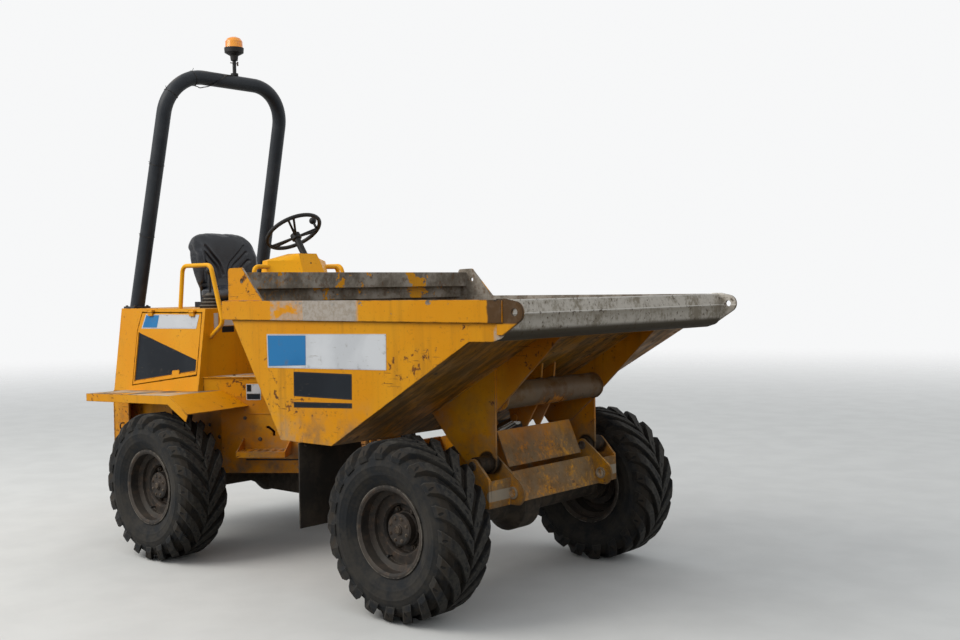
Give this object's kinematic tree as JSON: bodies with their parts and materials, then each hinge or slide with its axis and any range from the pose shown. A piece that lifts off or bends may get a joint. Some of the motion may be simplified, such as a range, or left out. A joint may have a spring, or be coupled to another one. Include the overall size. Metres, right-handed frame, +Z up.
{
  "type": "front-tip articulated site dumper",
  "caption": "Yellow articulated four-wheel site dumper with an open front-tipping skip, a roll hoop behind the driver's seat and an amber beacon.",
  "frame": {"origin": "on the ground, on the centre line, midway between the two axles", "axes": "+X towards the skip's lip (forwards), +Y to the driver's left, +Z up"},
  "size_m": [3.54, 1.824, 3.142],
  "materials": {
    "yellow_paint": "satin",
    "dark_iron": "matte",
    "bright_steel": "satin",
    "black_paint": "satin",
    "rusty_steel": "matte",
    "black_plastic": "matte",
    "amber_plastic": "gloss",
    "black_vinyl": "satin",
    "black_rubber": "matte",
    "tyre": "matte"
  },
  "bodies": {
    "rear": {"rear_chassis": "yellow_paint", "pivot_pin": "bright_steel", "axle_rear": "dark_iron", "engine": "dark_iron", "propshaft_rear": "dark_iron", "exhaust": "black_paint", "body": "yellow_paint", "rear_grille": "black_paint", "mudguards": "yellow_paint", "platform": "yellow_paint", "steps": "yellow_paint", "dash": "yellow_paint", "steering_column": "black_paint", "steering_wheel": "black_plastic", "seat_pan": "yellow_paint", "seat_cushion": "black_vinyl", "seat_back": "black_vinyl", "gear_boot": "black_rubber", "gear_lever": "black_plastic", "pedals": "black_rubber", "handrails": "yellow_paint", "roll_hoop": "black_paint", "beacon_stem": "black_plastic", "beacon_lens": "amber_plastic"},
    "pivot": {"pivot_block": "yellow_paint"},
    "front": {"front_chassis": "yellow_paint", "axle_front": "dark_iron", "propshaft_front": "dark_iron", "mudflaps": "black_rubber", "tipping_pins": "bright_steel"},
    "skip": {"skip": "yellow_paint", "skip_legs": "yellow_paint"},
    "tip_barrel": {"tip_ram_barrel": "yellow_paint"},
    "tip_rod": {"tip_ram_rod": "bright_steel"},
    "steer_barrel": {"steer_ram_barrel": "yellow_paint"},
    "steer_rod": {"steer_ram_rod": "bright_steel"},
    "door_left": {"side_door_left": "yellow_paint"},
    "door_right": {"side_door_right": "yellow_paint"},
    "wheel_front_left": {"tyre_front_left": "tyre", "wheel_front_left": "rusty_steel"},
    "wheel_front_right": {"tyre_front_right": "tyre", "wheel_front_right": "rusty_steel"},
    "wheel_rear_left": {"tyre_rear_left": "tyre", "wheel_rear_left": "rusty_steel"},
    "wheel_rear_right": {"tyre_rear_right": "tyre", "wheel_rear_right": "rusty_steel"}
  },
  "joints": [
    {"name": "steer", "type": "hinge", "parent": "rear", "child": "pivot", "pos_m": [0, 0, 0.56], "axis": [0, 0, 1], "range_deg": [-33, 33]},
    {"name": "roll", "type": "hinge", "parent": "pivot", "child": "front", "pos_m": [0.132, 0, 0.56], "axis": [1, 0, 0], "range_deg": [-10, 10]},
    {"name": "tip", "type": "hinge", "parent": "front", "child": "skip", "pos_m": [1.1555, 0, 0.6835], "axis": [0, 1, 0], "range_deg": [0, 80]},
    {"name": "tip_barrel_pin", "type": "hinge", "parent": "front", "child": "tip_barrel", "pos_m": [0.4, 0, 0.54], "axis": [0, 1, 0], "range_deg": [0, 9.2]},
    {"name": "tip_rod_slide", "type": "slide", "parent": "tip_barrel", "child": "tip_rod", "axis": [0.8944, 0, 0.4472], "range_m": [0, 0.2395]},
    {"name": "steer_barrel_pin", "type": "hinge", "parent": "rear", "child": "steer_barrel", "pos_m": [-0.43, 0.168, 0.56], "axis": [0, 0, 1], "range_deg": [-0.6, 0.6]},
    {"name": "steer_rod_slide", "type": "slide", "parent": "steer_barrel", "child": "steer_rod", "axis": [1, 0.009, 0], "range_m": [-0.096, 0.096]},
    {"name": "door_left_hinge", "type": "hinge", "parent": "rear", "child": "door_left", "pos_m": [-1.2, 0.555, 1.396], "axis": [1, 0, 0], "range_deg": [0, 85]},
    {"name": "door_right_hinge", "type": "hinge", "parent": "rear", "child": "door_right", "pos_m": [-1.2, -0.555, 1.396], "axis": [-1, 0, 0], "range_deg": [0, 85]},
    {"name": "wheel_front_left_axle", "type": "hinge", "parent": "front", "child": "wheel_front_left", "pos_m": [0.9675, 0.765, 0.415], "axis": [0, 1, 0], "continuous": true},
    {"name": "wheel_front_right_axle", "type": "hinge", "parent": "front", "child": "wheel_front_right", "pos_m": [0.9675, -0.765, 0.415], "axis": [0, 1, 0], "continuous": true},
    {"name": "wheel_rear_left_axle", "type": "hinge", "parent": "rear", "child": "wheel_rear_left", "pos_m": [-0.9675, 0.765, 0.415], "axis": [0, 1, 0], "continuous": true},
    {"name": "wheel_rear_right_axle", "type": "hinge", "parent": "rear", "child": "wheel_rear_right", "pos_m": [-0.9675, -0.765, 0.415], "axis": [0, 1, 0], "continuous": true}
  ],
  "couplings": [
    {"joint": "tip_barrel_pin", "follows": "tip", "ratio": 0.1125},
    {"joint": "tip_rod_slide", "follows": "tip", "m_per_rad": 0.1706},
    {"joint": "steer_barrel_pin", "follows": "steer", "ratio": 0.013},
    {"joint": "steer_rod_slide", "follows": "steer", "m_per_rad": -0.1632}
  ]
}
